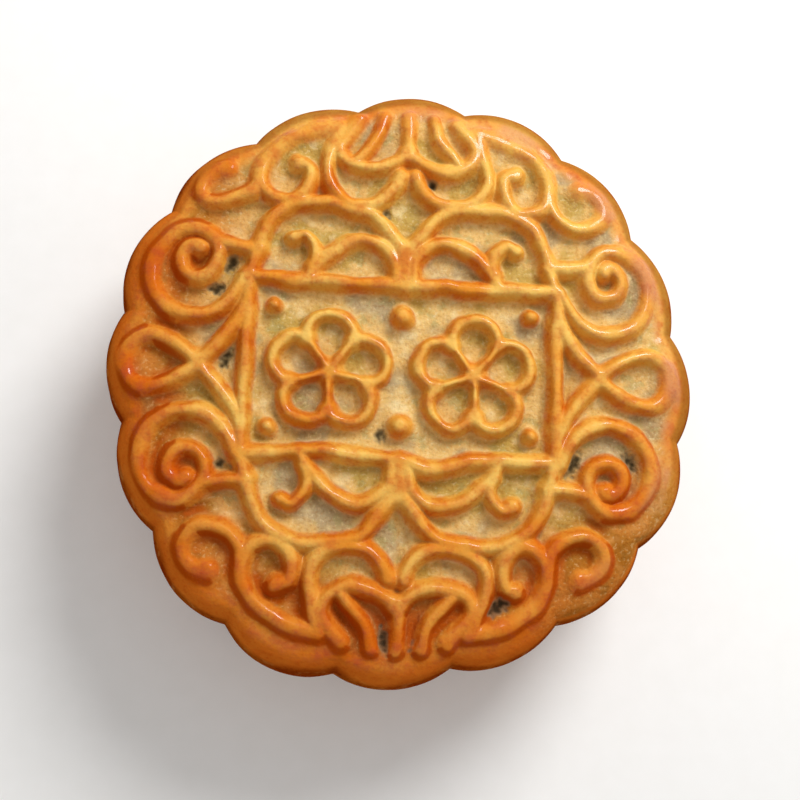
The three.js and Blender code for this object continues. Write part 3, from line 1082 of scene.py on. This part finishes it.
        recess = self.lay(tree, maps, linear(self.sandy), self.recess)
        raised = self.lay(tree, maps, linear(self.golden), self.raised)
        both = add_node(
            tree,
            "ShaderNodeMix",
            {MIX_FACTOR: maps["washed"], MIX_BELOW: recess, MIX_ABOVE: raised},
            data_type="RGBA",
        )
        top = self.lay(tree, maps, both.outputs[MIX_RESULT], self.browning)
        side = self.lay(tree, maps, linear(self.tanned), self.side)
        colour = add_node(
            tree,
            "ShaderNodeMix",
            {MIX_FACTOR: maps["side"], MIX_BELOW: top, MIX_ABOVE: side},
            data_type="RGBA",
        )
        roughness = add_node(
            tree,
            "ShaderNodeMapRange",
            {"Value": maps["washed"], "To Min": self.dull, "To Max": self.glazed},
        )
        thick = add_node(
            tree,
            "ShaderNodeMapRange",
            {
                "Value": maps["freckle"],
                "From Min": self.coat_freckles[0],
                "From Max": self.coat_freckles[1],
                "To Min": self.coat[0],
                "To Max": self.coat[1],
            },
        )
        coat = add_node(
            tree, "ShaderNodeMath", {0: thick.outputs[0], 1: maps["gloss"]}, operation="MULTIPLY"
        )
        bare, filled = self.crumb_strength
        strength = add_node(
            tree, "ShaderNodeMapRange", {"Value": maps["washed"], "To Min": bare, "To Max": filled}
        )
        crumb = add_node(
            tree,
            "ShaderNodeBump",
            {
                "Strength": strength.outputs[0],
                "Distance": self.crumb_depth * MM,
                "Height": maps["grain"],
            },
        )
        lumps = add_node(
            tree,
            "ShaderNodeBump",
            {
                "Strength": self.lump_strength,
                "Distance": self.lump_depth * MM,
                "Height": maps["freckle"],
                "Normal": crumb.outputs[0],
            },
        )
        shader = add_node(
            tree,
            "ShaderNodeBsdfPrincipled",
            {
                "Base Color": colour.outputs[MIX_RESULT],
                "Roughness": roughness.outputs[0],
                "IOR": self.ior,
                "Specular IOR Level": self.specular,
                "Normal": lumps.outputs[0],
                "Coat Weight": coat.outputs[0],
                "Coat Roughness": self.coat_roughness,
                "Subsurface Weight": self.translucence,
                "Subsurface Radius": self.glow_colour,
                "Subsurface Scale": self.glow * MM,
            },
        )
        add_node(tree, "ShaderNodeOutputMaterial", {"Surface": shader.outputs[0]})
        return material


@dataclass(frozen=True)
class MattePaper:
    """A pale studio floor of uncoated paper, which gives a soft shadow and no reflection."""

    name: str = "uncoated_paper_white"
    colour: str = "#F4F3F1"
    shade: str = "#EFEEEB"  # where fibres lie closer
    fibres: float = 300.0  # patches of fibres to a metre
    detail: float = 4.0  # octaves of them
    roughness: float = 0.9

    def build(self) -> bpy.types.Material:
        """Make the material.

        Returns:
            The paper.
        """
        material = bpy.data.materials.new(self.name)
        material.use_nodes = True
        tree = material.node_tree
        shader = tree.nodes["Principled BSDF"]
        place = add_node(tree, "ShaderNodeTexCoord").outputs["Object"]
        fibres = add_node(
            tree, "ShaderNodeTexNoise", {"Vector": place, "Scale": self.fibres, "Detail": self.detail}
        )
        tone = add_node(
            tree,
            "ShaderNodeMix",
            {
                MIX_FACTOR: fibres.outputs["Fac"],
                MIX_BELOW: linear(self.colour),
                MIX_ABOVE: linear(self.shade),
            },
            data_type="RGBA",
        )
        tree.links.new(tone.outputs[MIX_RESULT], shader.inputs["Base Color"])
        shader.inputs["Roughness"].default_value = self.roughness
        return material


# ---------------------------------------------------------------- the mooncake


@dataclass
class Mooncake:
    """The cake as one closed mesh: top, side and base."""

    top: TopRelief = field(default_factory=TopRelief)
    crust: EggWashedCrust = field(default_factory=EggWashedCrust)
    across: int = 420  # cells of the top's mesh from side to side
    rings: int = 34  # of the side
    base_rings: int = 3
    triangles: int = 186_000  # that the finished mesh keeps
    side_lumps: tuple[Unevenness, ...] = (Unevenness(41, 13), Unevenness(43, 5, 0.5))
    side_lump_depth: float = 0.13  # mm
    set_back: float = 0.05  # mm, of the side from the join
    side_below: Pair = (3.1, 4.8)  # mm below the top, where the side's finish, dark partly as painted shade, starts and is full
    waist_below: Pair = (7.0, 13.0)  # mm below it, where the pale waist starts and is full
    foot_ends: Pair = (1.0, 6.0)  # mm above the base, where the foot starts to turn pale and has
    tide: Unevenness = Unevenness(47, 7, 0.4)  # how unevenly these run round the side
    join_width: Pair = (0.2, 0.8)  # mm inside the join, where the field's normals start and are full
    join_slack: float = 0.02  # mm, how far below the join a point still counts as the top's

    def numbers(self) -> np.ndarray:
        """Number the points of the top's mesh, row by row."""
        count = self.across + 1
        return np.arange(count**2).reshape(count, count)

    def disc(self) -> tuple[np.ndarray, np.ndarray]:
        """Spread a square mesh evenly over the disc inside the join.

        Returns:
            The points (x, y), one row each, and the four corners of each face.
        """
        body, n = self.top.body, self.across
        steps = np.linspace(-1, 1, n + 1)
        a, b = np.meshgrid(steps, steps, indexing="ij")
        wide = np.abs(a) > np.abs(b)
        with np.errstate(divide="ignore", invalid="ignore"):
            angle = np.where(wide, math.pi / 4 * b / a, math.pi / 2 - math.pi / 4 * a / b)
        angle = np.nan_to_num(angle)
        share = np.where(wide, a, b)
        angle = angle + np.where(share < 0, math.pi, 0)
        edge = body.outline(angle, body.fluting_at(body.join_inset)) - body.join_inset
        radius = np.abs(share) * edge
        points = np.column_stack([(radius * np.cos(angle)).ravel(), (radius * np.sin(angle)).ravel()])
        number = self.numbers()
        faces = np.stack([number[:-1, :-1], number[1:, :-1], number[1:, 1:], number[:-1, 1:]], axis=-1)
        return points + body.axis, faces.reshape(-1, 4)

    def boundary(self) -> np.ndarray:
        """Go round the disc's edge.

        Returns:
            The numbers of its points, anticlockwise from the corner at minus 45 degrees.
        """
        number = self.numbers()
        return np.concatenate([number[-1, :-1], number[:0:-1, -1], number[0, :0:-1], number[:-1, 0]])

    def side_points(self, angle: np.ndarray, along: np.ndarray) -> np.ndarray:
        """Find points of the side.

        Args:
            angle: round the body, in radians.
            along: 0 at the join with the top, to 1 at the edge of the base.

        Returns:
            The points, mm, one row for each pair of an angle and a place along.
        """
        body = self.top.body
        inset, z, fluting = body.profile_curve()
        outer = z <= body.join_z + 1e-6  # mm, against rounding
        inset, z, fluting = inset[outer][::-1], z[outer][::-1], fluting[outer][::-1]
        inset = np.concatenate([[body.join_inset], inset])
        z = np.concatenate([[body.join_z], z])
        fluting = np.concatenate([[fluting[0]], fluting])
        length = np.concatenate([[0], np.cumsum(np.hypot(np.diff(inset), np.diff(z)))])
        place = along * length[-1]
        ring_z = np.interp(place, length, z)
        radius = body.outline(angle, np.interp(place, length, fluting)) - np.interp(place, length, inset)
        x, y = body.lobe_radius * np.cos(angle), body.lobe_radius * np.sin(angle)
        lumps = sum(waves.at(x, y + ring_z) for waves in self.side_lumps)
        fading = np.sin(math.pi * np.clip(along, 0, 1))  # none at the join and at the base
        radius = radius + self.side_lump_depth * lumps * fading - self.set_back * (along > 0)
        return np.column_stack([
            radius * np.cos(angle) + body.axis[0], radius * np.sin(angle) + body.axis[1], ring_z
        ])

    def surface(self) -> tuple[np.ndarray, np.ndarray, np.ndarray]:
        """Put the top, side and base together.

        Returns:
            The points in mm, the faces of four corners, and the faces of three.
        """
        flat, top_faces = self.disc()
        z = self.top.sample(self.top.height, flat[:, 0], flat[:, 1])
        points = [np.column_stack([flat, z])]
        upper = self.boundary()
        columns = len(upper)
        angle = -math.pi / 4 + np.arange(columns) * 2 * math.pi / columns
        middle = np.append(self.top.body.axis, 0.0)
        edge = self.side_points(angle, np.ones(columns))
        quads = [top_faces]
        count = len(flat)
        for ring in range(1, self.rings + self.base_rings):
            if ring <= self.rings:
                made = self.side_points(angle, np.full(columns, ring / self.rings))
            else:
                inwards = 1 - (ring - self.rings) / self.base_rings
                made = middle + (edge - middle) * (inwards, inwards, 1)
            lower = count + np.arange(columns)
            quads.append(np.column_stack([upper, lower, np.roll(lower, -1), np.roll(upper, -1)]))
            points.append(made)
            upper, count = lower, count + columns
        points.append(middle[None])
        fan = np.column_stack([np.full(columns, count), np.roll(upper, -1), upper])
        return np.vstack(points), np.vstack(quads), fan

    def mesh(self) -> bpy.types.Mesh:
        """Make the closed mesh, and thin it out where it is flat.

        Returns:
            The mesh, in metres.
        """
        points, quads, fan = self.surface()
        mesh = bpy.data.meshes.new("mooncake_fine")
        mesh.vertices.add(len(points))
        mesh.vertices.foreach_set("co", (points * MM).astype(np.float32).ravel())
        corners = np.concatenate([quads.ravel(), fan.ravel()])
        sizes = np.concatenate([np.full(len(quads), 4), np.full(len(fan), 3)])
        mesh.loops.add(len(corners))
        mesh.loops.foreach_set("vertex_index", corners.astype(np.int32))
        mesh.polygons.add(len(sizes))
        mesh.polygons.foreach_set("loop_start", (np.cumsum(sizes) - sizes).astype(np.int32))
        mesh.polygons.foreach_set("loop_total", sizes.astype(np.int32))
        mesh.update(calc_edges=True)
        mesh.validate()
        fine = bpy.data.objects.new("mooncake_fine", mesh)
        bpy.context.scene.collection.objects.link(fine)
        thinner = fine.modifiers.new("thinner", "DECIMATE")
        thinner.ratio = self.triangles / (2 * len(quads) + len(fan))
        thinner.use_collapse_triangulate = True
        graph = bpy.context.evaluated_depsgraph_get()
        thin = bpy.data.meshes.new_from_object(fine.evaluated_get(graph))
        bpy.data.objects.remove(fine)
        bpy.data.meshes.remove(mesh)
        return thin

    def crust_maps(self, x: np.ndarray, y: np.ndarray, z: np.ndarray,
                   on_top: np.ndarray) -> dict[str, np.ndarray]:
        """Read the crust's maps at the mesh's points.

        Args:
            x: the points' x, mm.
            y: the points' y, mm.
            z: the points' z, mm.
            on_top: whether each belongs to the top.

        Returns:
            By name, the maps of the top and of the side.
        """
        top, height = self.top, self.top.body.height
        maps = {name: top.sample(values, x, y) for name, values in top.maps.items()}
        for name in TopRelief.OF_TOP:
            maps[name] = maps[name] * on_top
        for name in ("washed", "shoulder"):
            maps[name] = np.where(on_top, maps[name], 1.0)
        level = z + self.tide.at(x, y + z)
        start, full = (height - below for below in self.side_below)
        maps["side"] = smooth_step(start, full, level)
        start, full = (height - below for below in self.waist_below)
        maps["waist"] = smooth_step(start, full, level) * smooth_step(*self.foot_ends, level)
        return maps

    def pressed_normals(self, mesh: bpy.types.Mesh, x: np.ndarray, y: np.ndarray,
                        on_top: np.ndarray) -> np.ndarray:
        """Take the top's normals from the field of heights, which is finer than the mesh.

        Args:
            mesh: the finished mesh.
            x: its points' x, mm.
            y: its points' y, mm.
            on_top: whether each point belongs to the top.

        Returns:
            A normal for each point; those of the side are the mesh's own.
        """
        top, body = self.top, self.top.body
        normals = np.empty(len(mesh.vertices) * 3, np.float32)
        mesh.vertices.foreach_get("normal", normals)
        normals = normals.reshape(-1, 3).astype(float)
        fine = np.column_stack([
            -top.sample(top.slope[0], x, y), -top.sample(top.slope[1], x, y), np.ones(len(x))
        ])
        fine /= np.linalg.norm(fine, axis=1)[:, None]
        start, full = (body.join_inset + width for width in self.join_width)
        share = (smooth_step(start, full, body.inset_at(x, y)) * on_top)[:, None]
        normals = normals * (1 - share) + fine * share
        return normals / np.linalg.norm(normals, axis=1)[:, None]

    def dress(self, mesh: bpy.types.Mesh) -> None:
        """Give the mesh its maps, its normals and its material.

        Args:
            mesh: the finished mesh.
        """
        points = np.empty(len(mesh.vertices) * 3, np.float32)
        mesh.vertices.foreach_get("co", points)
        x, y, z = (points.reshape(-1, 3) / MM).astype(float).T
        on_top = z > self.top.body.join_z - self.join_slack
        for name, values in self.crust_maps(x, y, z, on_top).items():
            layer = mesh.attributes.new(name, "FLOAT", "POINT")
            layer.data.foreach_set("value", values.astype(np.float32))
        mesh.shade_smooth()
        normals = self.pressed_normals(mesh, x, y, on_top)
        mesh.normals_split_custom_set_from_vertices(normals.tolist())
        mesh.materials.clear()
        mesh.materials.append(self.crust.build())

    def build(self) -> bpy.types.Object:
        """Make the cake, in the solid's place.

        Returns:
            The finished piece.
        """
        mesh = self.mesh()
        self.dress(mesh)
        mesh.name = "mooncake_crust"
        piece = bpy.data.objects.new("mooncake_crust", mesh)
        bpy.context.scene.collection.objects.link(piece)
        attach(piece, "root")
        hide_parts("mooncake")
        return piece


# ---------------------------------------------------------------- the studio


class Softbox(Enum):
    """The lights: azimuth and elevation in degrees, distance and size in metres, power in watts."""

    KEY = (32.0, 48.0, 0.30, 0.13, 0.80)
    FILL = (215.0, 40.0, 0.50, 0.40, 0.06)


@dataclass(frozen=True)
class Studio:
    """A pale floor, soft light, and the camera."""

    paper: MattePaper = field(default_factory=MattePaper)
    floor_size: float = 4.0  # m
    sky: str = "#FFFFFF"
    sky_strength: float = 0.54
    elevation: float = math.radians(79)
    turn: float = math.radians(23.156)  # of the cake under the camera
    roll: float = math.radians(25.29)
    distance: float = 120.0  # mm, from the target
    target: tuple[float, float, float] = (-0.43, -0.31, 30.0)  # mm
    lens: float = 45.48
    shift: Pair = (-0.00544, -0.0328)
    clip: Pair = (0.005, 10.0)  # m

    def floor(self) -> bpy.types.Object:
        """Lay the floor.

        Returns:
            The sheet of paper.
        """
        half = self.floor_size / 2
        corners = [(-half, -half, 0), (half, -half, 0), (half, half, 0), (-half, half, 0)]
        mesh = bpy.data.meshes.new("studio_floor")
        mesh.from_pydata(corners, [], [(0, 1, 2, 3)])
        mesh.materials.append(self.paper.build())
        piece = bpy.data.objects.new("studio_floor", mesh)
        bpy.context.scene.collection.objects.link(piece)
        return piece

    def lights(self) -> None:
        """Hang the lights, and light the sky evenly."""
        for softbox in Softbox:
            azimuth, elevation, distance, size, power = softbox.value
            lamp = bpy.data.lights.new(softbox.name.lower(), "AREA")
            lamp.shape = "DISK"
            lamp.size = size
            lamp.energy = power
            across, up = math.radians(azimuth), math.radians(elevation)
            level = math.cos(up)
            away = Vector((math.sin(across) * level, math.cos(across) * level, math.sin(up)))
            holder = bpy.data.objects.new(softbox.name.lower(), lamp)
            holder.location = away * distance
            holder.rotation_mode = "QUATERNION"
            holder.rotation_quaternion = away.to_track_quat("Z", "Y")
            bpy.context.scene.collection.objects.link(holder)
        world = bpy.data.worlds.new("studio")
        world.use_nodes = True
        sky = world.node_tree.nodes["Background"]
        sky.inputs["Color"].default_value = linear(self.sky)
        sky.inputs["Strength"].default_value = self.sky_strength
        bpy.context.scene.world = world
        bpy.context.scene.view_settings.view_transform = "Standard"

    def camera(self) -> bpy.types.Object:
        """Set the camera up, rolled and turned over the cake.

        Returns:
            The camera.
        """
        along = Vector((0, -math.cos(self.elevation), math.sin(self.elevation)))
        right = Vector((1, 0, 0))
        up = along.cross(right)
        rolled_right = right * math.cos(self.roll) + up * math.sin(self.roll)
        rolled_up = up * math.cos(self.roll) - right * math.sin(self.roll)
        axes = Matrix((rolled_right, rolled_up, along)).transposed()
        data = bpy.data.cameras.new("camera")
        data.lens = self.lens
        data.shift_x, data.shift_y = self.shift
        data.clip_start, data.clip_end = self.clip
        camera = bpy.data.objects.new("camera", data)
        facing = Matrix.Rotation(-self.turn, 3, "Z") @ axes
        place = Vector(self.target) + facing.col[2] * self.distance
        camera.matrix_world = Matrix.Translation(place * MM) @ facing.to_4x4()
        bpy.context.scene.collection.objects.link(camera)
        bpy.context.scene.camera = camera
        return camera


def main() -> None:
    """Load the solid, build the cake around it, and set up the studio."""
    logging.basicConfig(level=logging.INFO, format="%(name)s: %(message)s")
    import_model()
    cake = Mooncake().build()
    log.info("%s: %d triangles", cake.name, len(cake.data.polygons))
    studio = Studio()
    for piece in (studio.floor(), studio.camera()):
        log.info("%s is in place", piece.name)
    studio.lights()


if __name__ == "__main__":
    main()
